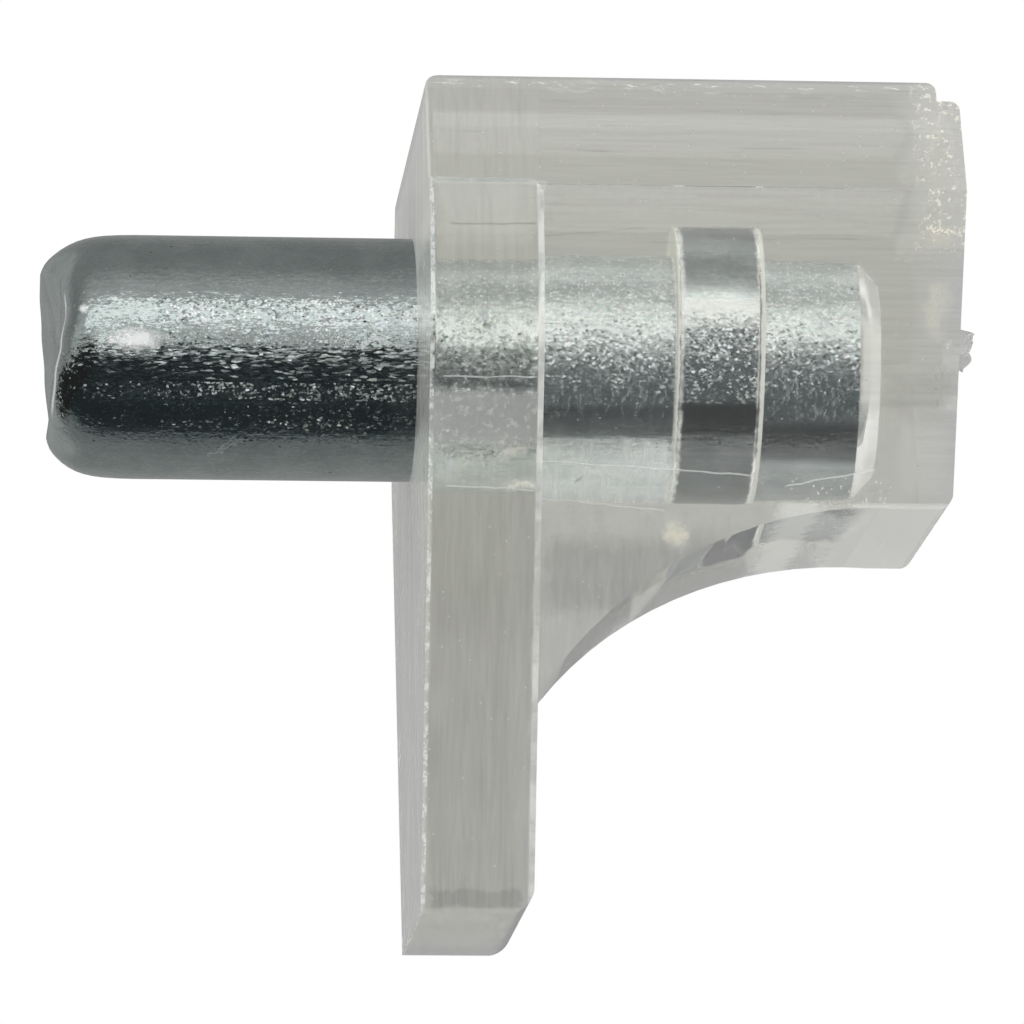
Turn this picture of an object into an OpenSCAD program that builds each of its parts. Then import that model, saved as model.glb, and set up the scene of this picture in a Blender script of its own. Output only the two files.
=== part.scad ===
// Shelf support pin: a steel pin with a clear plastic bracket moulded over one end.
// The origin is on the pin's axis, in the plane of the bracket's back face.
// X runs from the pin's free tip (-) to the end of the shelf seat (+), Z is up.

/* [Steel pin] */
// Diameter of the pin, which sits in a drilled hole of the same nominal size
pin_d = 5.0; // [4.8:0.05:5.2]
// Length of pin standing out of the back face
pin_out = 7.6; // [6.4:0.2:10]
// Length of pin inside the plastic
pin_in = 9.1; // [8.6:0.1:9.6]
// Diameter of the collar that holds the pin in the plastic
collar_d = 5.7; // [5.5:0.1:6.2]
// Height of the collar's centre above the pin's axis, because it was upset from one side
collar_up = 0.3; // [0.1:0.05:0.4]
// Distance from the back face to the collar
collar_x = 5.05; // [4.6:0.05:5.8]
// Width of the collar
collar_w = 1.65; // [1.2:0.05:1.9]
// Growth of the pin's radius from the back face to the collar, left by heading
flare = 0.03; // [0.01:0.01:0.06]
// Loss of the pin's radius from the collar to its inner end
tail_draft = 0.06; // [0.02:0.01:0.1]
// Rounding of the free tip
tip_r = 0.85; // [0.5:0.05:1.1]
// Depth of the shallow dish left in the sheared tip
tip_dish = 0.24; // [0.12:0.02:0.3]
// Chamfer of the end inside the plastic
end_c = 0.35; // [0.2:0.05:0.5]

/* [Seat and body] */
// Distance from the back face to the end face
reach = 10.75; // [10.3:0.05:12]
// Height of the shelf seat above the pin's axis
seat_z = 4.75; // [4.4:0.05:5.4]
// Width of the shelf seat
seat_w = 9.6; // [9:0.1:10]
// Width of the body at its shoulder, where it is widest
shoulder_w = 11.7; // [11.2:0.1:12.2]
// Height of the shoulder above the pin's axis
shoulder_z = 2.25; // [1.9:0.05:2.6]
// Width of the flat under the body
base_w = 6.0; // [5.6:0.1:6.6]
// Depth of the flat under the body, below the pin's axis
base_z = 3.65; // [3.5:0.05:4.2]
// Radius of the hollow sweep from the flat down to the back plate
sweep_r = 8.1; // [7.8:0.1:8.6]
// Distance from the back face to where the sweep starts
sweep_x = 9.2; // [8.8:0.1:9.6]
// Rounding of the lower edge of the end face
nose_r = 0.35; // [0.25:0.05:0.6]
// Height of the step along the front edge of the seat
step_h = 0.43; // [0.3:0.01:0.6]
// Depth of that step
step_d = 0.45; // [0.3:0.01:0.6]

/* [Back plate] */
// Thickness of the back plate
plate_t = 2.25; // [2:0.05:2.6]
// Radius of the round head of the plate
head_r = 6.5; // [6.3:0.05:6.8]
// Height of the centre of that head above the pin's axis
head_z = 0.2; // [0:0.05:0.4]
// Height of the plate's ears above the body's shoulder, where they stop
ear_rise = 0.05; // [0.05:0.05:0.4]
// Rounding of the top front corner of each ear
ear_r = 0.4; // [0.2:0.05:0.7]
// Depth of the foot of the plate below the pin's axis
foot_z = 11.9; // [11:0.1:13]
// Width of the foot
foot_w = 5.9; // [5.4:0.1:6.6]
// Rounding of the front edge of the foot
foot_r = 0.55; // [0.4:0.05:1.2]

/* [Gate stub] */
// Diameter of the broken gate stub on the end face
gate_d = 1.3; // [0.9:0.1:1.6]
// Length of the broken gate stub
gate_l = 1.0; // [0.6:0.05:1.2]

/* [Hidden] */
$fn = 96;
// cutting blocks and rods stand this far past what they cut
past = 1;
wide = shoulder_w + 2 * head_r;
// arcs run this far past the flats that they meet, so that no face is left touching along a line
bite = 0.01;
// slope of the leaning sides of the body, which run on down into the sweep
lean = (shoulder_w - base_w) / 2 / (shoulder_z + base_z);
keel = 0.45;
keel_z = shoulder_z - (shoulder_w / 2 - keel) / lean;
// the tail of the plate leaves the round head almost at a tangent
tail_run = head_z + foot_z;
tail_r = head_r - 3 * bite;
tail_a = asin(tail_r / norm([foot_w / 2, tail_run])) - atan(foot_w / 2 / tail_run);
tail_y = tail_r * cos(tail_a);
tail_z = head_z - tail_r * sin(tail_a);
ear_z = shoulder_z + ear_rise;
// the pin's pocket starts this far outside the back face, with this rounding
pocket = 0.5;
pocket_r = 0.1;
dish_r = 5.2;
dish_low = 0.5;
gate_z = 0.15;
gate_taper = 0.11;
gate_break = 0.72;
gate_slant = 24;

// lays a profile drawn as [y, z] along X
module along_x(x0, x1) {
    translate([x0, 0, 0]) rotate([90, 0, 90]) linear_extrude(height = x1 - x0) children();
}

// a cylinder lying across the part, along Y
module cross_rod(x, z, r) {
    translate([x, wide / 2, z]) rotate([90, 0, 0]) cylinder(r = r, h = wide);
}

// the solid of the pin; from_x sets where it starts, so the pocket can start outside the plate
module pin_solid(from_x, r_edge) {
    r = pin_d / 2;
    rotate([0, 90, 0])
        rotate_extrude() polygon(concat(
            [[0, from_x]],
            [for (i = [0 : 10]) [r - r_edge + r_edge * sin(i * 9), from_x + r_edge - r_edge * cos(i * 9)]],
            [[r, 0], [r + flare, collar_x], [r, collar_x + collar_w], [r - tail_draft, pin_in - end_c],
             [r - tail_draft - end_c, pin_in], [0, pin_in]]));
    translate([collar_x, 0, collar_up]) rotate([0, 90, 0]) cylinder(d = collar_d, h = collar_w);
}

module steel_pin() {
    color([0.62, 0.65, 0.68])
    difference() {
        pin_solid(-pin_out, tip_r);
        // the sheared tip is a little hollow, and deeper low down
        translate([-pin_out - dish_r + tip_dish, 0, -dish_low]) sphere(r = dish_r);
    }
}

module back_plate() {
    intersection() {
        union() {
            translate([0, 0, head_z]) rotate([0, 90, 0]) cylinder(r = head_r, h = plate_t);
            along_x(0, plate_t) polygon([[-tail_y, tail_z], [-foot_w / 2, -foot_z],
                [foot_w / 2, -foot_z], [tail_y, tail_z]]);
        }
        // side view of the plate: ears that stop at the shoulder, and a rounded front edge at the foot
        difference() {
            translate([-past, -wide / 2, -foot_z - past])
                cube([plate_t + 2 * past, wide, ear_z + foot_z + past]);
            difference() {
                translate([plate_t - ear_r, -wide / 2, ear_z - ear_r])
                    cube([ear_r + 1.5 * past, wide, ear_r + 1.5 * past]);
                cross_rod(plate_t - ear_r + bite, ear_z - ear_r + bite, ear_r);
            }
            difference() {
                translate([plate_t - foot_r, -wide / 2, -foot_z - 1.5 * past])
                    cube([foot_r + 1.5 * past, wide, foot_r + 1.5 * past]);
                cross_rod(plate_t - foot_r + bite, -foot_z + foot_r - bite, foot_r);
            }
        }
    }
}

module body() {
    difference() {
        // end view of the body: a flat seat, a shoulder on each side and sides that lean in below it
        along_x(0, reach) polygon([[-seat_w / 2, seat_z], [-shoulder_w / 2, shoulder_z],
            [-keel, keel_z], [keel, keel_z], [shoulder_w / 2, shoulder_z], [seat_w / 2, seat_z]]);
        // the flat underneath, and the hollow sweep down to the back plate
        translate([sweep_x, -wide / 2, -base_z - wide]) cube([wide, wide, wide]);
        cross_rod(sweep_x, -base_z - sweep_r + 2 * bite, sweep_r);
        // lower edge of the end face
        difference() {
            translate([reach - nose_r, -wide / 2, -base_z - past])
                cube([nose_r + past, wide, nose_r + past]);
            cross_rod(reach - nose_r + bite, -base_z + nose_r - bite, nose_r);
        }
        // step along the front edge of the seat
        translate([reach - step_d, -wide / 2, seat_z - step_h])
            cube([step_d + past, wide, step_h + past]);
    }
}

module gate_stub() {
    // a short tapered stub, broken off on a slant
    difference() {
        translate([reach - past / 2, 0, gate_z]) rotate([0, 90, 0])
            cylinder(r1 = gate_d / 2 + gate_taper, r2 = gate_d / 2 - gate_taper, h = gate_l + past / 2);
        translate([reach + gate_l * gate_break, -wide / 2, gate_z]) rotate([0, gate_slant, 0])
            translate([0, 0, -wide]) cube([wide, wide, wide]);
    }
}

module clear_bracket() {
    color([0.82, 0.85, 0.83, 0.5])
    difference() {
        union() {
            back_plate();
            body();
            gate_stub();
        }
        pin_solid(-pocket, pocket_r);
    }
}

steel_pin();
clear_bracket();
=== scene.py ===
# %% [markdown]
# A shelf support pin is a plated steel pin with a clear plastic bracket moulded over one end.
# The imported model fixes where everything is, so it is loaded first. This file then dresses the
# two pieces, lights them like small hardware on a light table, and sets one camera. Lengths are
# in millimetres, from the pin's axis and the bracket's back face, and MM turns them into metres.
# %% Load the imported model
import bpy, bmesh, math
from mathutils import Vector, Matrix, noise


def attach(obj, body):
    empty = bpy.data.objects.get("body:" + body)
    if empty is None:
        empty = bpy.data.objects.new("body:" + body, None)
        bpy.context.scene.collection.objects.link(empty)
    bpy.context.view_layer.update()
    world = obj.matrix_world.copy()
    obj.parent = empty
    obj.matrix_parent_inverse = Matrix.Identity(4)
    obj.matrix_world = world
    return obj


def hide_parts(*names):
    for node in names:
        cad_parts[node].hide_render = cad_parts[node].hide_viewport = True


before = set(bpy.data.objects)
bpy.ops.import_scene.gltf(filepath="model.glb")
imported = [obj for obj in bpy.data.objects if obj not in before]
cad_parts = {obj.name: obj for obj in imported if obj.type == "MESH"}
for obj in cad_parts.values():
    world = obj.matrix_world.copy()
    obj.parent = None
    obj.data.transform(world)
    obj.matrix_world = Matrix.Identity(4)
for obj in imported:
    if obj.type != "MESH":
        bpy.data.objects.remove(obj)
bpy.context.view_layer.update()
MM = 0.001

# %% [markdown]
# The camera comes early, because it decides how much detail a surface needs. It stands a little
# below the part and to its left, 142 mm away. A long lens keeps the edges nearly parallel.
# %% Camera
SIDE, BELOW, TURN = -4.5, -11.9, -0.3      # degrees
DISTANCE, PER_MM = 142.0, 48.65            # mm to the origin, pixels a millimetre there
PICTURE, SENSOR = 1024, 36                 # width of the picture in pixels and in mm
ORIGIN_AT = (410.0, 360.5)                 # where the origin falls in the picture

def look_axes(side, below, turn):
    a, e, t = map(math.radians, (side, below, turn))
    ahead = Vector((math.sin(-a) * math.cos(e), math.cos(a) * math.cos(e), -math.sin(e)))
    right = ahead.cross(Vector((0, 0, 1))).normalized()
    up = right.cross(ahead)
    return ahead, right * math.cos(t) + up * math.sin(t), up * math.cos(t) - right * math.sin(t)

ahead, right, up = look_axes(SIDE, BELOW, TURN)
across = (ORIGIN_AT[0] - PICTURE / 2) / PER_MM
above = (PICTURE / 2 - ORIGIN_AT[1]) / PER_MM
place = -(ahead * DISTANCE + right * across + up * above) * MM
camera_data = bpy.data.cameras.new("camera")
camera_data.lens = PER_MM * DISTANCE * SENSOR / PICTURE
camera_data.clip_start, camera_data.clip_end = 0.01, 10
camera = bpy.data.objects.new("camera", camera_data)
camera.matrix_world = Matrix.Translation(place) @ Matrix((right, up, -ahead)).transposed().to_4x4()
bpy.context.scene.collection.objects.link(camera)
bpy.context.scene.camera = camera
print("camera at", [round(v / MM, 1) for v in place], "mm, lens", round(camera_data.lens, 1))

# %% [markdown]
# Both finishes are built from shader nodes. A few short helpers add a node, link what feeds it
# and hand back its output, so that each finish reads as a list of what it is made of. A mask is a
# number from 0 to 1 that says where an effect is, and a level is a number that masks raise or
# lower.
# %% Helpers for nodes
def put(tree, kind, inputs={}, **settings):
    """Adds a node. An input is a socket to link, or a value."""
    node = tree.nodes.new("ShaderNode" + kind)
    for name, value in settings.items():
        setattr(node, name, value)
    for name, value in inputs.items():
        socket = node.inputs[name]
        if isinstance(value, bpy.types.NodeSocket):
            tree.links.new(value, socket)
        elif socket.type == "RGBA" and not isinstance(value, tuple):
            socket.default_value = (value, value, value, 1)
        elif socket.type == "RGBA":
            socket.default_value = (*value[:3], 1)
        else:
            socket.default_value = value
    return node

def calc(tree, operation, *values):
    return put(tree, "Math", dict(enumerate(values)), operation=operation).outputs[0]

def chain(tree, operation, values):
    """One operation over a row of values, from left to right."""
    out = values[0]
    for value in values[1:]:
        out = calc(tree, operation, out, value)
    return out

def times(tree, *values):
    return chain(tree, "MULTIPLY", values)

def most(tree, *values):
    return chain(tree, "MAXIMUM", values)

def level(tree, base, *parts):
    """A base level, raised by each part: a mask, and how much it adds where it is 1."""
    return chain(tree, "ADD", [base] + [calc(tree, "MULTIPLY", mask, amount) for mask, amount in parts])

def without(tree, mask, share=1.0):
    """1, less a share of the mask."""
    return level(tree, 1.0, (mask, -share))

def vec(tree, operation, *vectors, **more):
    """The outputs of one step of vector arithmetic."""
    return put(tree, "VectorMath", {**dict(enumerate(vectors)), **more}, operation=operation).outputs

def blend(tree, factor, a, b, how="MIX"):
    node = put(tree, "Mix", {"Factor": factor, "A": a, "B": b}, data_type="RGBA", blend_type=how)
    return node.outputs["Result"]

print("helpers for arithmetic and colour")

# %% [markdown]
# Most masks are of three kinds: a soft step along one direction, a band between two places, or
# clouds of noise. Patterns read object coordinates, so they stay on the part when it moves.
# %% Helpers for masks
def soft(tree, value, start, end):
    """0 below start and 1 above end, or the other way round, with a smooth step between."""
    low, high = min(start, end), max(start, end)
    ends = (0.0, 1.0) if end > start else (1.0, 0.0)
    return put(tree, "MapRange", {"Value": value, "From Min": low, "From Max": high, "To Min": ends[0],
                                  "To Max": ends[1]}, interpolation_type="SMOOTHSTEP").outputs[0]

def between(tree, value, start, end, edge):
    """1 from start to end, falling to 0 over the edge outside them."""
    return times(tree, soft(tree, value, start - edge, start), soft(tree, value, end + edge, end))

def cloudy(tree, vector, scale, detail, roughness=0.5, output=0):
    """Fractal noise: its value, or three at once from the output "Color"."""
    inputs = {"Vector": vector, "Scale": scale, "Detail": detail, "Roughness": roughness}
    return put(tree, "TexNoise", inputs).outputs[output]

def in_mm(tree):
    """Object coordinates in millimetres, as one vector and as x, y and z."""
    vector = vec(tree, "SCALE", put(tree, "TexCoord").outputs["Object"], Scale=1 / MM)[0]
    return vector, *put(tree, "SeparateXYZ", {0: vector}).outputs

def new_material(name):
    material = bpy.data.materials.new(name)
    material.use_nodes = True
    return material, material.node_tree, material.node_tree.nodes["Principled BSDF"]

print("helpers for masks and materials")

# %% [markdown]
# Two effects are on both pieces, so each is a node group with named sockets, built once. The first
# is fine streaks, which drawing leaves on steel and flow leaves in plastic. Painting them by hand
# would not fit both, so they are noise that is stretched along one direction.
# %% Shared effect: streaks
def effect(name, inputs, outputs):
    group = bpy.data.node_groups.new(name, "ShaderNodeTree")
    for label, kind, value in inputs:
        socket = group.interface.new_socket(label, in_out="INPUT", socket_type="NodeSocket" + kind)
        if value is not None:
            socket.default_value = value
    for label in outputs:
        group.interface.new_socket(label, in_out="OUTPUT", socket_type="NodeSocketFloat")
    return group, group.nodes.new("NodeGroupInput").outputs, group.nodes.new("NodeGroupOutput").inputs

streaks, given, result = effect("streaks", [("Position", "Vector", None), ("Stretch", "Vector", (1, 1, 1)),
                                            ("Detail", "Float", 3.0)], ["Value"])
stretched = vec(streaks, "MULTIPLY", given["Position"], given["Stretch"])[0]
grain = cloudy(streaks, stretched, 1.0, given["Detail"], 0.6)
streaks.links.new(put(streaks, "MapRange", {"Value": grain, "From Min": 0.25, "From Max": 0.75,
                                            "To Min": -1.0, "To Max": 1.0}).outputs[0], result["Value"])
print("effect", streaks.name, "with", len(streaks.nodes), "nodes")

# %% [markdown]
# The second effect is small specks, which are dust and bright points on steel, and pits and grit in
# plastic. A Voronoi texture has one random colour for each cell, so a chosen share of its cells is
# drawn, each as a dot.
# %% Shared effect: specks
specks, given, result = effect("specks", [("Position", "Vector", None), ("Scale", "Float", 8.0),
                                          ("Share", "Float", 0.1), ("Size", "Float", 0.3)],
                               ["Mask", "Random"])
cells = put(specks, "TexVoronoi", {"Vector": given["Position"], "Scale": given["Scale"]}).outputs
chance = put(specks, "SeparateColor", {0: cells["Color"]}).outputs
chosen = calc(specks, "LESS_THAN", chance[0], given["Share"])
nearness = without(specks, calc(specks, "DIVIDE", cells["Distance"], given["Size"]))
dot = put(specks, "Clamp", {"Value": calc(specks, "MULTIPLY", nearness, 3.0)}).outputs[0]
specks.links.new(times(specks, chosen, dot), result["Mask"])
specks.links.new(chance[1], result["Random"])

def use(tree, group, **inputs):
    """Places an effect in a material and hands back its first output."""
    node = tree.nodes.new("ShaderNodeGroup")
    node.node_tree = group
    for name, value in inputs.items():
        if isinstance(value, bpy.types.NodeSocket):
            tree.links.new(value, node.inputs[name])
        else:
            node.inputs[name].default_value = value
    return node.outputs[0]

print("effect", specks.name, "with", len(specks.nodes), "nodes")

# %% [markdown]
# The pin is steel wire, cut, headed and thinly plated with zinc. A bright plating is a mirror made
# of tiny crystals, each tilted its own way, so it glitters where it mirrors the edge of a lamp and
# stays plain elsewhere. A bump map could do this, but would only ripple. Here each crystal is one
# cell of a Voronoi texture, whose random colour, less a half, is the way that it tilts.
# %% Steel: crystals
steel, t, skin = new_material("zinc_plate")
at, x, y, z = in_mm(t)
CRYSTALS, DASHES = 24.0, 27.0              # cells a millimetre

def crystals_in(stretch, scale):
    """The crystals' colours, the way each one tilts, and how far."""
    stretched = vec(t, "MULTIPLY", at, stretch)[0]
    colours = put(t, "TexVoronoi", {"Vector": stretched, "Scale": scale}).outputs["Color"]
    tilt = vec(t, "SUBTRACT", colours, (0.5, 0.5, 0.5))[0]
    return colours, tilt, vec(t, "LENGTH", tilt)["Value"]

crystals, tilt, size = crystals_in((0.7, 1.0, 1.0), CRYSTALS)
_, dash_tilt, dash_size = crystals_in((0.25, 1.0, 1.0), DASHES)
print("crystals of about", round(1 / CRYSTALS, 3), "mm")

# %% [markdown]
# Drawing and tumbling left bands along the pin, so how far the crystals tilt goes by height. The
# bare shank, the part inside the plastic and the collar each have bands of their own. The rounded
# end of the shank was rubbed smoother in the drum.
# %% Steel: bands
COLLAR_AT, COLLAR_WIDE, END_IN = 5.23, 1.65, 9.28
COLLAR_END = COLLAR_AT + COLLAR_WIDE
inside = soft(t, x, -0.05, 0.05)
outside = without(t, inside)
on_collar = between(t, x, COLLAR_AT - 0.01, COLLAR_END, 0.04)
off_collar = without(t, on_collar)
tumbled = soft(t, x, -5.2, -5.45)
patchy = soft(t, cloudy(t, at, 3.0, 3.0, 0.7), 0.36, 0.62)

def by_height(base, *bands):
    """A level that goes by height: a base, and bands of start, end, soft edge and added level."""
    return level(t, base, *((between(t, z, start, end, edge), added) for start, end, edge, added in bands))

def swap(mask, a, b):
    """The level a, or b where the mask is 1."""
    return level(t, times(t, a, without(t, mask)), (b, mask))

outside_rough = by_height(0.12, (0.22, 0.62, 0.08, 0.42), (-0.32, 0.1, 0.1, 0.12), (-1.34, -1.04, 0.03, 1.25),
                          (-1.8, -1.4, 0.08, 0.35))
inside_rough = by_height(0.17, (-0.75, 0.45, 0.35, 0.5), (0.6, 1.6, 0.2, 0.2), (-1.2, -0.75, 0.1, 0.2))
collar_rough = by_height(0.16, (-1.15, 0.4, 0.25, 1.1))
rough = swap(on_collar, swap(inside, outside_rough, inside_rough), collar_rough)
far_tilted = level(t, calc(t, "POWER", size, 1.5), (calc(t, "POWER", size, 4.0), 1.6))
much = times(t, far_tilted, rough, level(t, 0.6, (patchy, 0.6)), without(t, tumbled, 0.3),
             without(t, soft(t, x, -6.4, -6.8), 0.5))
dragged = times(t, between(t, z, -0.96, -0.36, 0.05), outside, without(t, tumbled, 0.5),
                calc(t, "POWER", dash_size, 2.0), 1.4)
print("collar from", COLLAR_AT, "to", round(COLLAR_END, 2), "mm, end of the pin at", END_IN, "mm")

# %% [markdown]
# The tilts are added to the surface's own direction. In one band of the bare shank, drawing
# dragged the crystals into dashes. Under both lie soft waves and drawn streaks, which really are
# ripples, so those are a bump.
# %% Steel: direction
facets = vec(t, "ADD", vec(t, "SCALE", tilt, Scale=much)[0], vec(t, "SCALE", dash_tilt, Scale=dragged)[0])[0]
smooth_way = put(t, "NewGeometry").outputs["Normal"]
facet_way = vec(t, "NORMALIZE", vec(t, "ADD", smooth_way, facets)[0])[0]
coarse = cloudy(t, at, 7.0, 3.0, 0.65)
drawn = use(t, streaks, Position=at, Stretch=(0.9, 7.0, 7.0), Detail=4.0)
ripples = level(t, calc(t, "MULTIPLY", coarse, 0.6), (drawn, 0.13))
RIPPLE = 0.016
bump = put(t, "Bump", {"Height": ripples, "Strength": 1.0, "Distance": RIPPLE * MM, "Normal": facet_way})
t.links.new(bump.outputs[0], skin.inputs["Normal"])
print("ripples of", RIPPLE, "mm at most")

# %% [markdown]
# The plating's colour is a greenish grey that clouds from place to place, with grime in its low spots and a
# few specks of dust. A little of each crystal's own shade is laid over it. Inside the plastic the colour is
# painted lighter, as painted light where the embedded steel looks brighter.
# %% Steel: colour
def grey(tree, value):
    return put(tree, "CombineColor", {0: value, 1: value, 2: value}).outputs[0]

cloud = cloudy(t, at, 1.3, 4.0, 0.6)
colour = blend(t, soft(t, cloud, 0.35, 0.65), (0.445, 0.505, 0.49), (0.52, 0.575, 0.56))
glitter = blend(t, 0.75, crystals, grey(t, size))
colour = blend(t, 0.14, colour, blend(t, 1.0, colour, glitter, "OVERLAY"))
grime = soft(t, cloudy(t, at, 9.0, 3.0, 0.75), 0.62, 0.8)
colour = blend(t, times(t, grime, 0.45), colour, (0.2, 0.22, 0.21))
dust = use(t, specks, Position=at, Scale=2.4, Share=0.16, Size=0.08)
colour = blend(t, times(t, dust, 0.85), colour, (0.04, 0.04, 0.035))
# painted light: the steel is painted lighter inside the plastic
colour = blend(t, inside, colour, vec(t, "MULTIPLY", colour, (1.3, 1.245, 1.29))[0])
print("plating's colour,", len(t.nodes), "nodes so far")

# %% [markdown]
# Inside the plastic the steel has painted shade, darkest under the collar and under the tail, for the dark
# that it mirrors there. The shade lies in places rather than at random, so each place is a mask of its own,
# and the darkest wins.
# %% Steel: painted shade
past_collar = soft(t, x, COLLAR_END + 0.02, COLLAR_END + 0.08)
to_collar = times(t, soft(t, x, 2.2, 2.4), soft(t, x, COLLAR_END + 0.1, COLLAR_AT))
# painted shade: each mask darkens the steel towards black
painted_shade = most(
    t,
    # under the collar, and over its top
    times(t, on_collar, soft(t, z, -1.1, -1.35), level(t, 0.86, (soft(t, z, -1.72, -1.82), -0.2))),
    times(t, on_collar, soft(t, z, 0.9, 1.25), 0.42),
    # low on the shank, from the plate to the end of the collar
    times(t, inside, to_collar, between(t, z, -1.72, -1.35, 0.15), 0.45),
    # under the tail
    times(t, past_collar, soft(t, z, -1.3, -1.65), level(t, 0.74, (soft(t, z, -2.05, -2.2), -0.35))),
    # in the plate, at the top and along the middle
    times(t, inside, soft(t, x, 2.5, 2.2), soft(t, z, 0.9, 1.4), 0.15),
    times(t, inside, soft(t, x, 2.3, 2.15), between(t, z, -0.75, -0.05, 0.15), 0.34))
colour = blend(t, painted_shade, colour, (0.0, 0.0, 0.0))
print("painted_shades,", len(t.nodes), "nodes so far")

# %% [markdown]
# Painted highlights make the steel brightest in three places: a soft spot near the free end, a point on the
# tip and a band on the collar. Three fine scratches cross the underside. A scratch is a thin band round a
# straight line, which noise makes unsteady.
# %% Steel: painted highlights and scratches
NEAR = -1.0                                # scratches stay in front of this y
front = calc(t, "LESS_THAN", y, 0.0)

def glow(x0, z0, flat, reach):
    """A soft, ragged spot on the near side; flat makes it longer than it is high."""
    here = put(t, "CombineXYZ", {0: x, 2: calc(t, "MULTIPLY", z, flat)}).outputs[0]
    spread = vec(t, "DISTANCE", here, (x0, 0.0, z0 * flat))["Value"]
    ragged = level(t, spread, (calc(t, "SUBTRACT", coarse, 0.5), reach))
    return times(t, soft(t, ragged, reach, reach * 0.25), front)

def scratches(tree, where, *rows):
    """Fine, unsteady lines on the near side. Where holds x, y, z and how far a line wanders. Each
    row holds the line's two ends, its width and its strength."""
    x, y, z, wander = where
    marks = []
    for x0, z0, x1, z1, width, strength in rows:
        slope = (z1 - z0) / (x1 - x0)
        ideal = level(tree, z0 - slope * x0, (x, slope))
        off = calc(tree, "ABSOLUTE", calc(tree, "SUBTRACT", calc(tree, "ADD", z, wander), ideal))
        marks.append(times(tree, soft(tree, off, width, width * 0.4), soft(tree, x, x0, x0 + 0.1),
                           soft(tree, x, x1, x1 - 0.1), calc(tree, "LESS_THAN", y, NEAR), strength))
    return most(tree, *marks)

WHITE = (0.95, 0.96, 0.95)
# painted highlights, whitened in the colour
collar_highlight = times(t, on_collar, between(t, z, 0.35, 0.75, 0.2), front, level(t, 0.45, (patchy, 0.4)))
painted_highlight = most(t, glow(-5.68, -0.22, 2.3, 0.72), glow(-6.76, 0.45, 1.0, 0.12), collar_highlight)
colour = blend(t, times(t, painted_highlight, 0.9), colour, (0.98, 0.99, 0.98))
where = (x, y, z, calc(t, "MULTIPLY", coarse, 0.3))
hairs = scratches(t, where, (-4.24, -2.15, -2.6, -1.55, 0.03, 0.6), (-3.5, -1.72, -2.3, -1.62, 0.03, 0.6),
                  (-3.9, -1.98, -3.1, -1.5, 0.02, 0.6))
colour = blend(t, hairs, colour, WHITE)
print("rubbed spots and scratches,", len(t.nodes), "nodes so far")

# %% [markdown]
# Not all of the skin is bare metal. A dull bloom shows as upright flecks where the steel mirrors something
# dark. The rest is painted light: white glint specks in the bands where the lamp is mirrored, a painted
# highlight on the near rim of the sheared tip, and pale painted highlights along both edges of the collar and
# at the pin's inner end, where the gaps in the plastic shine.
# %% Steel: bloom and painted light
def from_axis(tree, y, z):
    return calc(tree, "SQRT", level(tree, calc(tree, "MULTIPLY", y, y), (z, z)))

bloom = cloudy(t, vec(t, "MULTIPLY", at, (13.0, 5.0, 5.0))[0], 1.0, 5.0, 0.75)
dull = times(t, soft(t, bloom, 0.5, 0.62), inside, off_collar, between(t, z, -1.45, -0.5, 0.2), 0.3)
pin_points = use(t, specks, Position=at, Scale=14.0, Share=0.3, Size=0.45)
lit_inside = times(t, inside, between(t, z, 0.2, 2.2, 0.3), off_collar, 0.7)
lit_outside = times(t, outside, without(t, tumbled),
                    by_height(0.0, (0.2, 0.62, 0.1, 0.75), (-1.3, -1.06, 0.05, 0.4)))
# painted glint specks, white, in the mirrored lamp's bands
painted_glints = times(t, pin_points, calc(t, "ADD", lit_inside, lit_outside))
colour = blend(t, painted_glints, colour, (0.97, 0.98, 1.0))
# painted highlight on the near rim of the sheared tip
tip_rim_highlight = times(t, between(t, from_axis(t, y, z), 1.86, 1.91, 0.03), soft(t, x, -6.9, -7.1),
             between(t, z, -1.3, 0.7, 0.3), front)
colour = blend(t, times(t, tip_rim_highlight, 0.8), colour, WHITE)
# painted highlights along the collar's edges and at the pin's inner end
rim_x = calc(t, "SUBTRACT", level(t, x, (cloudy(t, at, 5.0, 4.0), 0.14)), 0.07)
left_rim_highlight = times(t, soft(t, rim_x, COLLAR_AT + 0.15, COLLAR_AT + 0.05),
                  soft(t, x, COLLAR_AT - 0.1, COLLAR_AT - 0.04))
right_rim_highlight = times(t, soft(t, rim_x, COLLAR_END - 0.09, COLLAR_END - 0.02),
                   soft(t, x, COLLAR_END + 0.11, COLLAR_END + 0.05))
end_highlight = times(t, soft(t, rim_x, END_IN - 0.3, END_IN - 0.15), by_height(0.2, (-1.0, 0.35, 0.5, 0.8)))
rim_highlights = times(t, most(t, left_rim_highlight, right_rim_highlight, end_highlight), level(t, 0.55, (patchy, 0.4)))
colour = blend(t, rim_highlights, colour, (0.92, 0.94, 0.94))
t.links.new(colour, skin.inputs["Base Color"])
print("bloom, burr and weld,", len(t.nodes), "nodes so far")

# %% [markdown]
# Metallic goes down where a bloom dulls the plating, as a bloom scatters light where plating mirrors it, and
# where light is painted on, so that the painted highlights and glint specks show pale. Roughness rises a
# little along the drawn streaks, and beside the plate, where the mould's edge rubbed the shank.
# %% Steel: metal and polish
covered_or_painted = most(t, rim_highlights, dull, times(t, painted_glints, 0.7), times(t, tip_rim_highlight, 0.6), times(t, painted_highlight, 0.8))
t.links.new(without(t, covered_or_painted), skin.inputs["Metallic"])
beside_plate = soft(t, x, -0.75, -0.35)
polish = level(t, 0.11, (calc(t, "ABSOLUTE", drawn), 0.06), (beside_plate, 0.12))
t.links.new(polish, skin.inputs["Roughness"])
print(steel.name, "has", len(t.nodes), "nodes")

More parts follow.
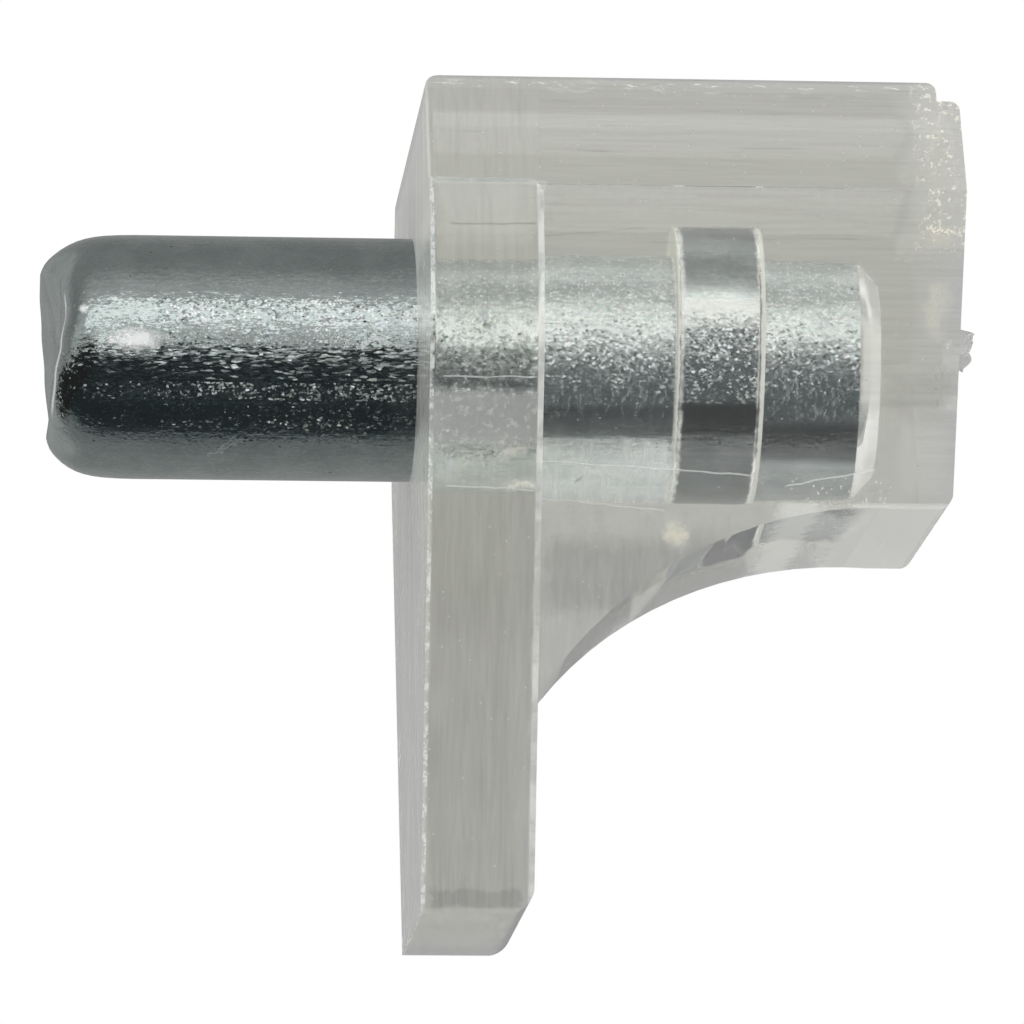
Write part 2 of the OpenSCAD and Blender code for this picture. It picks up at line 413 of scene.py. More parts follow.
# %% [markdown]
# The bracket is clear styrene or acrylic. It is glass to the renderer: an index of 1.49, nearly
# smooth, with an absorption inside that greys it and warms it a little. An absorption is better
# than a dark surface here, because thick places then get darker than thin ones.
# %% Plastic: clear
clear, t, skin = new_material("clear_plastic")
at, x, y, z = in_mm(t)
skin.inputs["Roughness"].default_value = 0.08
skin.inputs["IOR"].default_value = 1.49
skin.inputs["Transmission Weight"].default_value = 0.95
haze = put(t, "VolumeAbsorption", {"Color": (0.96, 0.965, 0.86), "Density": 100.0})
clear_out = t.nodes["Material Output"]
t.links.new(haze.outputs[0], clear_out.inputs["Volume"])
print("index", round(skin.inputs["IOR"].default_value, 2))

# %% [markdown]
# Hot plastic left flow lines as it filled the mould: along the seat and the body, and down the
# plate and the gusset. They are noise, stretched level or upright, and one mask swaps the two.
# %% Plastic: flow lines
REACH, SEAT_Z, PLATE_T, FOOT_Z = 10.75, 4.75, 2.25, -11.9
along = use(t, streaks, Position=at, Stretch=(0.3, 4.0, 8.0), Detail=5.0)
along_fine = use(t, streaks, Position=at, Stretch=(0.5, 6.0, 16.0), Detail=3.0)
upright = use(t, streaks, Position=at, Stretch=(6.0, 1.5, 0.25), Detail=4.0)
upright_fine = use(t, streaks, Position=at, Stretch=(16.0, 3.0, 0.5), Detail=3.0)
in_plate = soft(t, x, PLATE_T + 0.1, PLATE_T - 0.05)
flows_down = most(t, in_plate, soft(t, z, -3.2, -3.7))
down_lines = level(t, upright, (upright_fine, 0.6))
level_lines = calc(t, "MULTIPLY", level(t, along, (along_fine, 1.2)), 0.7)
lines = level(t, calc(t, "MULTIPLY", down_lines, flows_down), (level_lines, without(t, flows_down)))
dark_lines = times(t, soft(t, along_fine, -0.62, -0.85), soft(t, z, 0.8, 1.6))
print("flow lines,", len(t.nodes), "nodes so far")

# %% [markdown]
# The flow lines and a few darker places make the tone; at the gusset, the foot and the rim of the seat the
# darkening is painted shade. They belong in the colour, not in a bump, because a bump here would also bend
# what is seen of the pin. A place is ragged where noise pushes its limits about, and it lies on the near side
# only.
# %% Plastic: tone
near_side = calc(t, "LESS_THAN", y, NEAR)
where = (x, y, z, calc(t, "MULTIPLY", cloudy(t, at, 1.6, 3.0), 0.12))
tears = put(t, "SeparateColor", {0: cloudy(t, at, 2.2, 5.0, 0.7, "Color")}).outputs
torn_x = level(t, x, (calc(t, "SUBTRACT", tears[0], 0.5), 0.7))
torn_z = level(t, z, (calc(t, "SUBTRACT", tears[1], 0.5), 0.5))

def patch(x0, x1, z0, z1, edge=0.15):
    """A ragged patch on the near side, between two lengths and two heights."""
    return times(t, soft(t, torn_x, x0, x0 + edge), soft(t, torn_x, x1, x1 - edge),
                 soft(t, torn_z, z0, z0 + edge), soft(t, torn_z, z1, z1 - edge), near_side)

on_tail = times(t, in_plate, soft(t, z, -2.6, -3.6), soft(t, z, FOOT_Z + 0.06, FOOT_Z + 0.12),
                soft(t, x, 0.05, 0.12))
tone = level(
    t, 0.95, (lines, 0.1), (dark_lines, -0.16),
    (on_tail, -0.22), (times(t, on_tail, between(t, z, -6.0, -4.0, 1.0)), -0.07),
    (patch(9.1, REACH, -1.95, -0.95, 0.3), -0.16),            # low on the end of the body
    # painted shade: a dark reflection on the gusset
    (patch(2.35, 6.6, -5.9, -4.0, 0.5), -0.24),               # the gusset
    # painted shade at the foot
    (patch(0.1, 2.0, FOOT_Z + 0.04, -11.4, 0.12), -0.2),      # the foot
    # painted shade, a dark line along the rim of the seat
    (soft(t, z, SEAT_Z - 0.09, SEAT_Z - 0.02), -0.2),         # the rim of the seat
    (scratches(t, where, (3.05, -3.2, 3.3, -3.0, 0.05, 0.6), (0.35, 1.33, 2.15, 1.37, 0.03, 0.4),
               (2.2, 1.35, 4.4, 1.55, 0.025, 0.14)), -1.0))
t.links.new(grey(t, tone), skin.inputs["Base Color"])
print("tone,", len(t.nodes), "nodes so far")

# %% [markdown]
# Two places bend light in a way that the solid alone doesn't. The flanks above the shoulder are a
# little hollow, from sinking as they cooled, and the plate's round head is close to flat where it
# stands before the pin. The outline stays as built, and only the direction of the surface is eased.
# It has to be turned round on back faces, which light meets as it leaves.
# %% Plastic: sink and head
SINK, FLAT_Y, FLAT_Z = -0.39, 0.9, -0.435
SEAT_HALF, SHOULDER_Z = 4.8, 2.25          # half the seat's width, and the height of the shoulder
geometry = put(t, "NewGeometry").outputs
off_middle = calc(t, "ABSOLUTE", y)
outward = without(t, geometry["Backfacing"], 2.0)
flank = times(t, calc(t, "GREATER_THAN", off_middle, SEAT_HALF - 0.06),
              calc(t, "GREATER_THAN", z, SHOULDER_Z + 0.02), soft(t, z, 4.3, 3.4), soft(t, x, 0.1, 0.15),
              soft(t, x, REACH - 0.15, REACH - 0.25))
on_head = times(t, soft(t, x, 0.08, 0.12), soft(t, x, PLATE_T - 0.05, PLATE_T - 0.15),
                calc(t, "GREATER_THAN", off_middle, SEAT_HALF + 0.1),
                calc(t, "LESS_THAN", z, SHOULDER_Z - 0.05), soft(t, z, -3.9, -3.3))
nearly_flat = put(t, "CombineXYZ", {1: times(t, calc(t, "SIGN", y), outward, FLAT_Y),
                                    2: times(t, outward, FLAT_Z)}).outputs[0]
sunk = put(t, "CombineXYZ", {2: times(t, flank, outward, SINK)}).outputs[0]
eased = vec(t, "ADD", blend(t, on_head, geometry["Normal"], nearly_flat), sunk)[0]
t.links.new(vec(t, "NORMALIZE", eased)[0], skin.inputs["Normal"])
print("sink of", SINK, "and head of", (FLAT_Y, FLAT_Z), "in the surface's direction")

# %% [markdown]
# Inside, the plastic is frosted where it shrank from the collar and from the end of the pin, and these pale
# bands are also painted highlights, for the light that the gaps there throw back. Each frosted ring is a
# narrow band along the pin, kept to the walls of its pocket.
# %% Plastic: frost and painted highlights inside
in_pocket = times(t, calc(t, "LESS_THAN", from_axis(t, y, z), 3.2), calc(t, "LESS_THAN", x, END_IN + 0.3),
                  calc(t, "GREATER_THAN", x, -0.02))
ragged_x = calc(t, "ADD", x, level(t, -0.05, (cloudy(t, at, 5.0, 4.0), 0.1)))

def ring_at(place, half):
    return soft(t, calc(t, "ABSOLUTE", calc(t, "SUBTRACT", ragged_x, place)), half, half * 0.5)

end_frost_and_highlight = times(t, ring_at(END_IN - 0.05, 0.4), level(t, 0.12, (between(t, z, -1.0, 0.35, 0.5), 0.8)))
frosted_rims_and_highlight = times(t, in_pocket,
             most(t, ring_at(COLLAR_AT - 0.02, 0.05), ring_at(COLLAR_END + 0.06, 0.08), end_frost_and_highlight))
print("frosted rings at", COLLAR_AT, "and", round(COLLAR_END, 2), "mm")

# %% [markdown]
# A shelf support is handled in bags and under shelves, so its edges are scuffed pale and its front corner is
# speckled; along the plate's near side the pale edges are also painted highlights, and a few places hold
# painted pools of warmer, yellowish light. The edges come from the mesh, whose rounded faces carry a value
# for it. The rest are noise and specks, kept to their places.
# %% Plastic: edges and corner
edge_wear_and_highlight = times(t, put(t, "Attribute", attribute_name="edge").outputs["Fac"],
                  level(t, 0.6, (cloudy(t, at, 2.5, 4.0), 0.7)))
blobs = soft(t, cloudy(t, at, 7.0, 4.0, 0.65), 0.55, 0.62)
flat_blobs = soft(t, cloudy(t, vec(t, "MULTIPLY", at, (2.6, 7.0, 11.0))[0], 1.0, 4.0, 0.7), 0.54, 0.64)
pits = use(t, specks, Position=at, Scale=9.0, Share=0.08, Size=0.24)
grit = use(t, specks, Position=at, Scale=11.0, Share=0.4, Size=0.3)
top_edge = times(t, soft(t, z, SEAT_Z - 0.5, SEAT_Z - 0.25), soft(t, z, SEAT_Z, SEAT_Z - 0.15))
seat_line = times(t, between(t, z, SEAT_Z - 0.19, SEAT_Z - 0.12, 0.03), soft(t, x, 0.1, 0.3))
corner = times(t, soft(t, x, 9.55, 10.1), soft(t, y, -3.0, -4.0), soft(t, z, 0.9, 1.4))
under_nose = times(t, soft(t, x, 7.2, 7.6), soft(t, x, 9.7, 9.3), soft(t, z, -3.0, -3.2),
                   soft(t, y, 0.0, -1.0))
sprinkled = most(t, times(t, top_edge, flat_blobs, 0.3), times(t, corner, blobs),
                 times(t, seat_line, flat_blobs), times(t, under_nose, grit, 0.8), times(t, pits, 0.3))
# painted light: pools of warmer light in a few places
gusset_warm_light = patch(4.7, 5.6, -4.5, -3.8, 0.35)
streak_warm_light = most(t, patch(1.25, 2.1, -3.35, -2.95, 0.25), patch(1.4, 2.1, -3.9, -3.65, 0.12))
warm_light = most(t, patch(9.8, 10.7, 1.0, 1.8, 0.35), patch(9.9, 10.6, -0.6, 0.7, 0.35), gusset_warm_light,
            times(t, corner, 0.6), times(t, streak_warm_light, 0.6))
print("edges, corner and warm places,", len(t.nodes), "nodes so far")

# %% [markdown]
# The two edges of the plate's near side carry painted highlights, pale lines of light, the back one only in
# beads. Thin pale hazes lie on the back face, on the gusset, low in the plate and under the pin's tail.
# %% Plastic: plate and hazes
faces_side = calc(t, "ABSOLUTE", put(t, "SeparateXYZ", {0: geometry["True Normal"]}).outputs[1])
on_side = times(t, calc(t, "GREATER_THAN", faces_side, 0.3), near_side,
                calc(t, "LESS_THAN", z, SHOULDER_Z - 0.01))
beads = soft(t, cloudy(t, at, 5.0, 4.0, 0.7), 0.42, 0.6)
uneven = soft(t, cloudy(t, at, 1.1, 4.0, 0.6), 0.35, 0.65)
# painted highlight along the plate's front edge
front_edge_highlight = times(t, on_side, between(t, x, PLATE_T - 0.1, PLATE_T + 0.05, 0.05),
                   level(t, 0.25, (between(t, z, -1.1, -0.6, 0.3), 0.25), (uneven, 0.4)))
# painted highlight in beads along the plate's back edge
back_edge_highlight = times(t, on_side, between(t, x, -0.1, 0.07, 0.03), beads, 0.7)
ear_line = times(t, calc(t, "GREATER_THAN", off_middle, SEAT_HALF + 0.15),
                 soft(t, x, PLATE_T + 0.15, PLATE_T + 0.05),
                 between(t, z, SHOULDER_Z - 0.09, SHOULDER_Z + 0.07, 0.03), 0.22)
under_tail = times(t, soft(t, z, -3.5, -3.6), soft(t, torn_x, 6.9, 7.5),
                   level(t, 0.55, (between(t, torn_x, 8.2, 8.6, 0.3), -0.3)))
on_gusset = times(t, soft(t, x, PLATE_T + 0.15, PLATE_T + 0.2), soft(t, x, 5.0, 4.92),
                  soft(t, z, -3.62, -3.58), soft(t, z, -2.36, -2.42), near_side,
                  level(t, 0.2, (upright, 0.16)))
low_in_plate = times(t, soft(t, torn_z, -1.85, -2.15), soft(t, torn_z, -3.3, -2.9), in_plate, near_side,
                     level(t, 0.3, (blobs, 0.12)))
on_back = times(t, soft(t, x, 0.08, 0.03),
                level(t, 0.26, (between(t, z, 1.5, 4.0, 0.5), 0.16), (upright, 0.08)))
print("plate's edges and hazes,", len(t.nodes), "nodes so far")

# %% [markdown]
# Frost, scuffs, hazes and hairlines all scatter light, and the painted highlights and painted warmer light
# join them, so they are gathered in one mask that mixes a diffuse shader into the clear one. Where two
# overlap the stronger one counts, as a scuff on a frosted place makes it no whiter.
# %% Plastic: gather the wear and painted light
hairlines = scratches(t, where, (2.3, -3.45, 5.0, -3.66, 0.022, 0.35), (0.3, -3.75, 2.15, -3.82, 0.022, 0.35),
                      (0.2, -1.7, 2.15, -1.7, 0.022, 0.4), (2.3, -2.74, 6.7, -3.0, 0.022, 0.5),
                      (7.3, -3.2, 9.2, -2.85, 0.022, 0.5))
frosted = most(
    t, times(t, sprinkled, 0.8), times(t, edge_wear_and_highlight, 0.9), times(t, frosted_rims_and_highlight, 0.95), times(t, warm_light, 0.25),
    times(t, gusset_warm_light, 0.55), times(t, streak_warm_light, 0.45),
    times(t, patch(9.4, REACH, -3.6, -1.9, 0.4), 0.14), times(t, patch(0.1, 2.15, 0.75, 2.3, 0.2), 0.1),
    front_edge_highlight, back_edge_highlight, ear_line, under_tail, on_gusset, low_in_plate, on_back, hairlines)
frost = put(t, "BsdfDiffuse", {"Color": blend(t, warm_light, (0.88, 0.89, 0.85), (0.95, 0.9, 0.72))})
wear_and_painted_light = put(t, "MixShader", {0: frosted, 1: skin.outputs[0], 2: frost.outputs[0]})
print("wear gathered,", len(t.nodes), "nodes so far")

# %% [markdown]
# The far walls of such a small clear block would fold the room into stripes that hide the pin. Most
# of the light that meets them from inside therefore leaves straight on, which keeps the far side as
# quiet as a thin moulding looks. The pocket round the pin is left out, so the steel's seat is true.
# %% Plastic: way out
STRAIGHT_ON = 0.8
from_inside = put(t, "NewGeometry").outputs["Backfacing"]
straight_share = times(t, from_inside, STRAIGHT_ON, without(t, in_pocket))
straight = put(t, "BsdfTransparent")
leave = put(t, "MixShader", {0: straight_share, 1: wear_and_painted_light.outputs[0], 2: straight.outputs[0]})
t.links.new(leave.outputs[0], clear_out.inputs["Surface"])
print(clear.name, "has", len(t.nodes), "nodes")

# %% [markdown]
# Both pieces are made as meshes, and end alike: outward normals, smooth shading broken at sharp
# edges, one material, and a ride on the model's only body. Faces marked "plain" stay flat shaded,
# and that is set last, because marking the sharp edges makes every face smooth.
# %% Helper for meshes
SHARP = math.radians(30)

def finish_mesh(bm, name, material, body="root"):
    bmesh.ops.recalc_face_normals(bm, faces=bm.faces)
    plain = bm.faces.layers.int.get("plain")
    smooth = [not (plain and f[plain]) for f in bm.faces]
    mesh = bpy.data.meshes.new(name)
    bm.to_mesh(mesh)
    bm.free()
    piece = bpy.data.objects.new(name, mesh)
    bpy.context.scene.collection.objects.link(piece)
    mesh.set_sharp_from_angle(angle=SHARP)
    mesh.polygons.foreach_set("use_smooth", smooth)
    mesh.materials.append(material)
    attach(piece, body)
    print(name, len(mesh.polygons), "faces")
    return piece

# %% [markdown]
# The pin is turned from a profile, like the real one, which is wire: a cylinder could not carry its
# rounded tip, its slight swelling towards the collar or its drafted tail. The steel stands 0.01 mm
# into the plastic. With a gap instead, the plastic would mirror at its pocket and hide the steel.
# %% Pin: turned
PIN_R, PIN_OUT = 2.5, 7.6
GRIP, SWELL, DRAFT, CHAMFER = 0.01, 0.03, 0.06, 0.35

def turn(bm, profile, centre_z=0.0, steps=192, closed=False):
    """Turns a profile of x and radius about a line along x, at one height."""
    points = [bm.verts.new((px * MM, 0, (centre_z + pr) * MM)) for px, pr in profile]
    following = points[1:] + points[:1] if closed else points[1:]
    edges = [bm.edges.new(pair) for pair in zip(points, following)]
    bmesh.ops.spin(bm, geom=points + edges, axis=(1, 0, 0), cent=(0, 0, centre_z * MM), angle=2 * math.pi,
                   steps=steps, use_merge=True)
    bmesh.ops.remove_doubles(bm, verts=bm.verts, dist=1e-7)

DISH = [(-7.36, 0.0), (-7.38, 0.6), (-7.44, 1.1), (-7.52, 1.45), (-7.585, 1.66)]
# the rounded tip: how far back from its end the pin reaches each radius
TIP = [(0.0, 1.71), (0.03, 1.80), (0.08, 1.90), (0.16, 2.00), (0.25, 2.08), (0.38, 2.18), (0.55, 2.28),
       (0.72, 2.355), (0.90, 2.41), (1.10, 2.45), (1.30, 2.475), (1.60, 2.493), (1.95, PIN_R)]
SHANK = [(-2.0, PIN_R), (0.0, PIN_R), (0.02, PIN_R + GRIP), (2.5, PIN_R + SWELL / 2 + GRIP),
         (COLLAR_AT, PIN_R + SWELL + GRIP), (COLLAR_END, PIN_R + GRIP),
         (END_IN - CHAMFER, PIN_R - DRAFT + GRIP), (END_IN - 0.05 + GRIP, 2.12 + GRIP), (END_IN + GRIP, 2.0),
         (END_IN + GRIP, 0.0)]
bm = bmesh.new()
turn(bm, DISH + [(back - PIN_OUT, r) for back, r in TIP] + SHANK)
print("pin turned,", len(bm.faces), "faces")

# %% [markdown]
# The shear that cut the wire left its tip hollow, tilted and wavy. Turning can't make that, so the
# points near the tip are moved along the pin afterwards, each by as much as the rim falls short at
# its angle.
# %% Pin: sheared tip
TIP_FROM, RIM_R, SHORT_MEAN = -6.4, 1.7, 0.21
# how far each part of the rim falls short, by degrees from the top
SHORT = [(0, 0.0), (45, 0.40), (75, 0.48), (95, 0.38), (115, 0.26), (140, 0.2), (180, 0.15), (225, 0.22),
         (270, 0.12), (300, 0.05), (330, 0.0), (360, 0.0)]

def falls_short(degrees):
    for (a0, s0), (a1, s1) in zip(SHORT, SHORT[1:]):
        if a0 <= degrees <= a1:
            k = (degrees - a0) / (a1 - a0)
            return s0 + (s1 - s0) * (3 * k * k - 2 * k ** 3)

for v in bm.verts:
    px, py, pz = v.co / MM
    if px < TIP_FROM:
        outer = min(1.0, math.hypot(py, pz) / RIM_R)
        rim = falls_short(math.degrees(math.atan2(-py, pz)) % 360)
        short = SHORT_MEAN + (rim - SHORT_MEAN) * outer
        v.co.x += ((TIP_FROM - px) / (PIN_OUT + TIP_FROM)) ** 1.5 * short * MM
print("tip falls short by up to", max(short for _, short in SHORT), "mm")

# %% [markdown]
# The collar is a ring of its own, because it was upset from one side and sits high, so the pin's
# profile can't hold it. Its corners are broken a little, as the zinc builds up round on them.
# %% Pin: collar
COLLAR_R, COLLAR_UP, CORE_R = 2.85, 0.3, 1.8
CORNER = [(0.0, COLLAR_R - 0.06), (0.02, COLLAR_R - 0.02), (0.06, COLLAR_R)]
ring_profile = [(0.0, CORE_R)] + CORNER + [(COLLAR_WIDE - px, pr) for px, pr in reversed(CORNER)]
ring_profile.append((COLLAR_WIDE, CORE_R))
turn(bm, [(COLLAR_AT + px, pr + GRIP) for px, pr in ring_profile], COLLAR_UP, 160, closed=True)
pin = finish_mesh(bm, "plated_pin", steel)
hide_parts("steel_pin")

# %% [markdown]
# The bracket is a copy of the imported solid, so it can't drift from it. The copy comes as loose
# triangles, so its doubles are merged first, and small facets on the same plane are dissolved,
# which leaves whole faces and clean edges to work on.
# %% Bracket: copy
PIN_IN, COLLAR_X = 9.1, 5.05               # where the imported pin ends, and where its collar starts
POCKET_R = 3.3
bm = bmesh.new()
bm.from_mesh(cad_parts["clear_bracket"].data)
bmesh.ops.remove_doubles(bm, verts=bm.verts, dist=2e-6)
bmesh.ops.dissolve_limit(bm, angle_limit=math.radians(0.5), verts=bm.verts, edges=bm.edges)
edge_layer = bm.faces.layers.float.new("edge")
plain_layer = bm.faces.layers.int.new("plain")

def in_pin_pocket(v):
    return math.hypot(v.co.y, v.co.z) < POCKET_R * MM and v.co.x < (PIN_IN + 0.45) * MM

print("bracket copied,", len(bm.faces), "faces")

# %% [markdown]
# Light is bent in the plastic, so the dressed collar and the dressed end stand a little further in
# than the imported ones, and the pocket follows them. Clear plastic also shrinks from steel as it
# cools, which opens small voids beside the collar and behind the pin's end.
# %% Bracket: pocket
VOID_LEFT, VOID_RIGHT, VOID_END = 0.03, 0.09, 0.1
moved = 0
for v in bm.verts:
    px, pr = v.co.x / MM, math.hypot(v.co.y, v.co.z) / MM
    shift = 0.0
    if pr < POCKET_R and abs(px - COLLAR_X) < 0.15:
        shift = COLLAR_AT - COLLAR_X - VOID_LEFT
    elif PIN_R - 0.05 < pr < POCKET_R and abs(px - COLLAR_X - COLLAR_WIDE) < 0.15:
        shift = COLLAR_AT - COLLAR_X + VOID_RIGHT
    elif pr < PIN_R + 0.1 and PIN_IN - 0.5 < px < PIN_IN + 0.2:
        shift = END_IN - PIN_IN + VOID_END
    v.co.x += shift * MM
    moved += shift > 0
print(moved, "points of the pocket moved")

# %% [markdown]
# The edges are rounded as a mould's edges are: more at the back of the seat and along the step, less
# elsewhere. The rounded faces carry an "edge" value, which the finish reads to scuff them, most along the
# front of the plate and next along its back, where the pale edges are also painted highlights.
# %% Bracket: rounded edges
CLOSE = 0.02
STEP_X, STEP_Z = 10.25, 4.28               # the step is all that lies beyond these

def sharp_edges(degrees):
    return [e for e in bm.edges if len(e.link_faces) == 2 and e.calc_face_angle() > math.radians(degrees)
            and not all(in_pin_pocket(v) for v in e.verts)]

def round_off(edges, radius, segments):
    return bmesh.ops.bevel(bm, geom=edges, offset=radius * MM, offset_type="OFFSET", affect="EDGES",
                           segments=segments, profile=0.5, material=-1, clamp_overlap=True)["faces"]

def on_step(e):
    is_level = abs(e.verts[0].co.z - e.verts[1].co.z) < 1e-6
    is_rim = e.verts[0].co.x > (REACH - 0.05) * MM or e.verts[0].co.z > (SEAT_Z - 0.05) * MM
    return is_level and is_rim and all(v.co.x > STEP_X * MM and v.co.z > STEP_Z * MM for v in e.verts)

def on_seat_back(e):
    return all(v.co.x < CLOSE * MM and v.co.z > (SEAT_Z - 0.05) * MM for v in e.verts)

def on_plate_front(e):
    return all(abs(v.co.x - PLATE_T * MM) < CLOSE * MM for v in e.verts)

round_off([e for e in sharp_edges(20) if on_step(e)], 0.2, 4)
round_off([e for e in sharp_edges(25) if on_seat_back(e)], 0.26, 4)
rounded = round_off([e for e in sharp_edges(25) if on_plate_front(e)], 0.15, 3)
rounded += round_off(sharp_edges(25), 0.1, 2)
for f in rounded:
    if f.is_valid and f.calc_area() <= 5 * MM * MM:
        c = f.calc_center_median() / MM
        f[edge_layer] = 1.0 if abs(c.x - PLATE_T) < 0.17 and c.y < 0 else 0.7 if c.x < 0.12 else 0.2
print(sum(f[edge_layer] > 0 for f in bm.faces), "rounded faces")

# %% [markdown]
# A wide flat face stays flat shaded, so that what lies behind it isn't bent. The round head, the
# hollow sweep and the walls of the pocket are curved, so they stay smooth.
# %% Bracket: flat faces
HEAD_R, HEAD_Z = 6.5, 0.2
for f in bm.faces:
    n, c = f.normal, f.calc_center_median() / MM
    on_round_head = abs(n.x) < 0.01 and abs(math.hypot(c.y, c.z - HEAD_Z) - HEAD_R) < 0.1
    on_sweep = abs(n.y) < 0.02 and n.x > 0.02 and n.z < -0.02
    curved = on_round_head or on_sweep or all(in_pin_pocket(v) for v in f.verts)
    f[plain_layer] = f.calc_area() > 1.0 * MM * MM and not curved
print(sum(f[plain_layer] for f in bm.faces), "wide flat faces")

# %% [markdown]
# The gate is where the plastic ran in. It was broken off by hand, which leaves a ragged stub with
# one spike. The stub is cut into small faces, noise sets how long each point is, and the spike
# keeps its full length.
# %% Bracket: gate stub
GATE_Z, STUB_FROM = 0.15, REACH + 0.03

def stub_faces():
    return [f for f in bm.faces if f.calc_center_median().x > (REACH + 0.05) * MM]

for f in stub_faces():
    f[plain_layer] = 0
bmesh.ops.triangulate(bm, faces=stub_faces())
stub_edges = {e for f in stub_faces() for e in f.edges}
bmesh.ops.subdivide_edges(bm, edges=list(stub_edges), cuts=2, use_grid_fill=True)
for v in bm.verts:
    px, py, pz = v.co / MM
    if px > STUB_FROM:
        rise = pz - GATE_Z
        torn = 0.5 + 0.5 * noise.noise(Vector((py * 4.0, pz * 4.0, 7.0)))
        spike = max(0.0, 1 - math.hypot(py - 0.1, rise - 0.5) / 0.22)
        v.co.x = (STUB_FROM + (px - STUB_FROM) * (0.62 + 0.3 * torn * (1 - spike) + 0.38 * spike)) * MM
        v.co.z += 0.12 * rise * MM
bracket = finish_mesh(bm, "moulded_bracket", clear)
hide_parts("clear_bracket")

# %% [markdown]
# Steel shows nothing of its own, only the room. The room is a ring of bright and dark bands round
# the pin: a pale sky, a white card in front, a dark table below. Light that came through the
# plastic meets a second ring, as its bent paths look elsewhere in a real room. A colour ramp over
# the angle round the pin holds each ring.
# %% World: rings
world = bpy.data.worlds.new("studio")
world.use_nodes = True
bpy.context.scene.world = world
t = world.node_tree
toward = put(t, "SeparateXYZ", {0: put(t, "TexCoord").outputs["Generated"]}).outputs
angle = calc(t, "ARCTAN2", toward["Z"], calc(t, "MULTIPLY", toward["Y"], -1.0))
turned = put(t, "MapRange", {"Value": angle, "From Min": -math.pi, "From Max": math.pi}).outputs[0]

def ring(bands):
    """Brightness all round the part: 0 degrees is in front, 90 above, 180 behind, -90 below."""
    ramp = put(t, "ValToRGB", {0: turned})
    stops = ramp.color_ramp.elements
    stops.remove(stops[1])
    for i, (degrees, bright) in enumerate(bands):
        stop = stops[0] if i == 0 else stops.new((degrees + 180) / 360)
        stop.position, stop.color = (degrees + 180) / 360, (bright, bright, bright, 1)
    return ramp.outputs[0]

STEEL_RING = [(-180, 0.34), (-150, 0.32), (-116, 0.26), (-95, 0.2), (-89, 0.04), (-56, 0.03), (-48, 0.07),
              (-38, 0.07), (-34, 0.02), (-20, 0.04), (-11, 0.1), (-3, 0.42), (5, 0.56), (42, 0.56),
              (58, 0.48), (80, 0.27), (118, 0.26), (150, 0.32), (180, 0.34)]
PLASTIC_RING = [(-180, 0.6), (-150, 0.8), (-120, 0.9), (-84, 0.9), (-77, 0.12), (-60, 0.08), (-24, 0.08),
                (-4, 0.14), (10, 0.35), (26, 0.5), (40, 1.0), (53, 1.35), (64, 0.5), (80, 0.56), (96, 1.05),
                (118, 0.6), (150, 0.5), (180, 0.6)]
on_steel, in_plastic = ring(STEEL_RING), ring(PLASTIC_RING)
print("rings of", len(STEEL_RING), "and", len(PLASTIC_RING), "bands")

# %% [markdown]
# What a ray meets goes by its path. Seen directly the room is plain white, and to diffuse surfaces
# it is even, so neither ring tints the floor. The dark parts are a little blue. Off the free end of
# the pin the room is dark in front and pale behind, which gives the rounded tip its form.
# %% World: paths
BOUNCED, DARK, PALE, EVEN, SEEN = 0.455, 0.025, 0.42, 0.8, 1.0
BLUISH = (0.82, 1.04, 1.12)
path = put(t, "LightPath").outputs
through = calc(t, "GREATER_THAN", path["Transmission Depth"], 0.5)
bounced = calc(t, "GREATER_THAN", path["Glossy Depth"], 0.5)
light = blend(t, through, on_steel, blend(t, bounced, BOUNCED, in_plastic))
light = blend(t, soft(t, light, 0.02, 0.3), blend(t, 1.0, light, BLUISH, "MULTIPLY"), light)
off_end = times(t, without(t, through), soft(t, toward["X"], -0.3, -0.5))
dark_front = times(t, off_end, soft(t, toward["Y"], 0.45, 0.3), soft(t, toward["Z"], 0.08, 0.0),
                   soft(t, toward["Z"], -0.62, -0.5))
light = blend(t, dark_front, light, DARK)
light = blend(t, times(t, off_end, soft(t, toward["Y"], 0.45, 0.6)), light, PALE)
light = blend(t, most(t, path["Is Glossy Ray"], path["Is Transmission Ray"]), EVEN, light)
light = blend(t, path["Is Camera Ray"], light, SEEN)
t.links.new(light, t.nodes["Background"].inputs["Color"])
print("world has", len(t.nodes), "nodes")

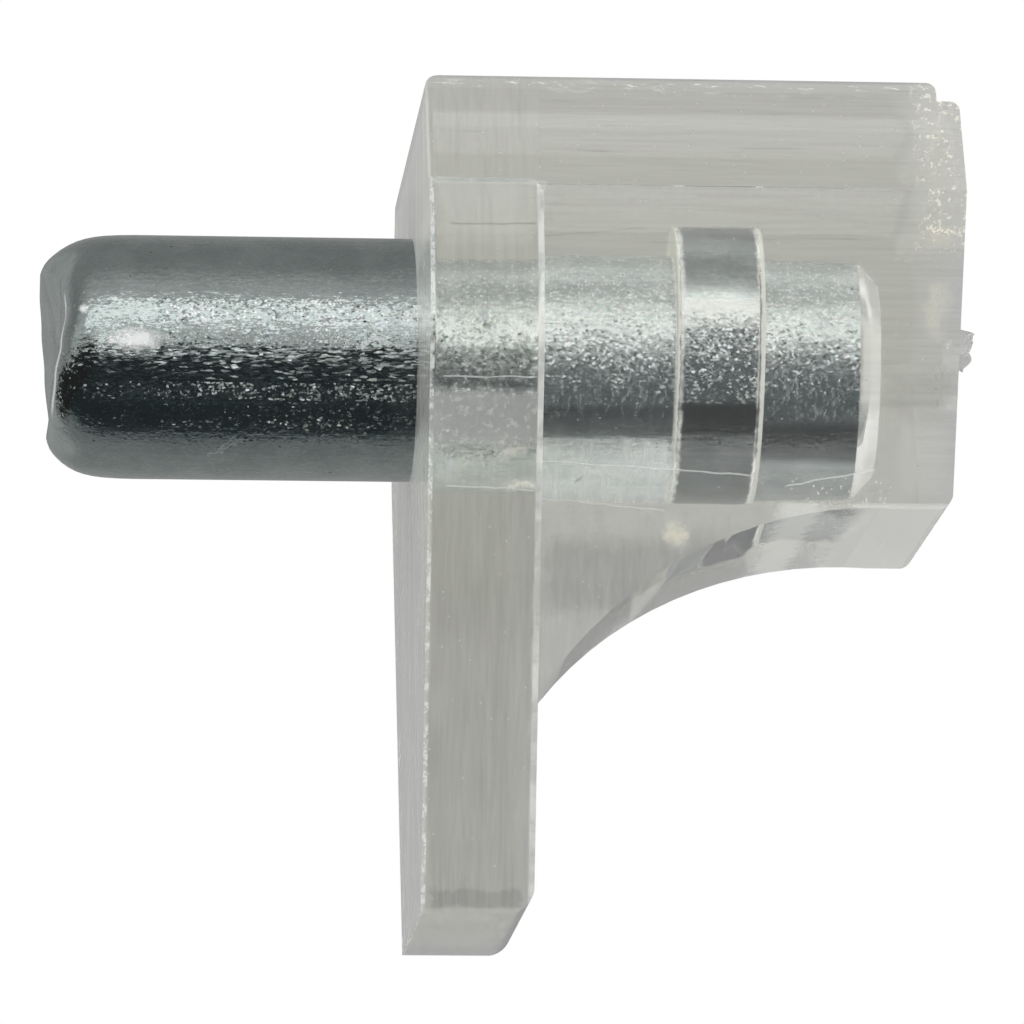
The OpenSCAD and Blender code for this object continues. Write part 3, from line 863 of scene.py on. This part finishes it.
# %% [markdown]
# Two lamps give form and a shadow: a long key from the front and above, and a faint one from the
# left that puts a glint on the rounded tip. Both are softboxes, whose size sets how soft they are.
# %% Lamps
KEY_AWAY, KEY_UP = 0.4, math.radians(30)   # metres from the part, and how high it stands

def softbox(name, stands, size, power):
    """A lamp that stands somewhere, in metres, and points at the part."""
    data = bpy.data.lights.new(name, "AREA")
    data.shape = "RECTANGLE"
    data.size, data.size_y = size
    data.energy = power
    lamp = bpy.data.objects.new(name, data)
    lamp.location = stands
    lamp.rotation_euler = (-Vector(stands)).to_track_quat("-Z", "Y").to_euler()
    bpy.context.scene.collection.objects.link(lamp)
    print(name, "lamp of", power, "W")

softbox("glint", (-0.085, -0.385, 0.035), (0.13, 0.05), 0.02)
softbox("key", (0.0, -KEY_AWAY * math.cos(KEY_UP), KEY_AWAY * math.sin(KEY_UP)), (0.7, 0.15), 0.29)

# %% [markdown]
# The part lies over a pale sheet. From below, where the camera stands, the sheet is seen through,
# as if it were glass, and from above it is plain paper that keeps the shadow. Steel and plastic
# don't mirror it, since their room is the ring of bands.
# %% Floor
FLOOR_R, FLOOR_Z = 400.0, -20.0
bm = bmesh.new()
bmesh.ops.create_circle(bm, cap_ends=True, segments=96, radius=FLOOR_R * MM,
                        matrix=Matrix.Translation((0, 0, FLOOR_Z * MM)))
mesh = bpy.data.meshes.new("floor")
bm.to_mesh(mesh)
bm.free()
floor = bpy.data.objects.new("floor", mesh)
bpy.context.scene.collection.objects.link(floor)
paper, t, skin = new_material("pale_paper")
skin.inputs["Base Color"].default_value = (0.9, 0.9, 0.9, 1)
skin.inputs["Roughness"].default_value = 0.9
seen = put(t, "LightPath").outputs["Is Camera Ray"]
from_below = times(t, put(t, "NewGeometry").outputs["Backfacing"], seen)
nothing = put(t, "BsdfTransparent").outputs[0]
see_through = put(t, "MixShader", {0: from_below, 1: skin.outputs[0], 2: nothing})
t.links.new(see_through.outputs[0], t.nodes["Material Output"].inputs["Surface"])
mesh.materials.append(paper)
floor.visible_glossy = floor.visible_transmission = False
print("floor", -FLOOR_Z, "mm below the pin's axis")

# %% [markdown]
# The picture keeps its colours as they are, with no film curve.
# %% View
view = bpy.context.scene.view_settings
view.view_transform = "Standard"
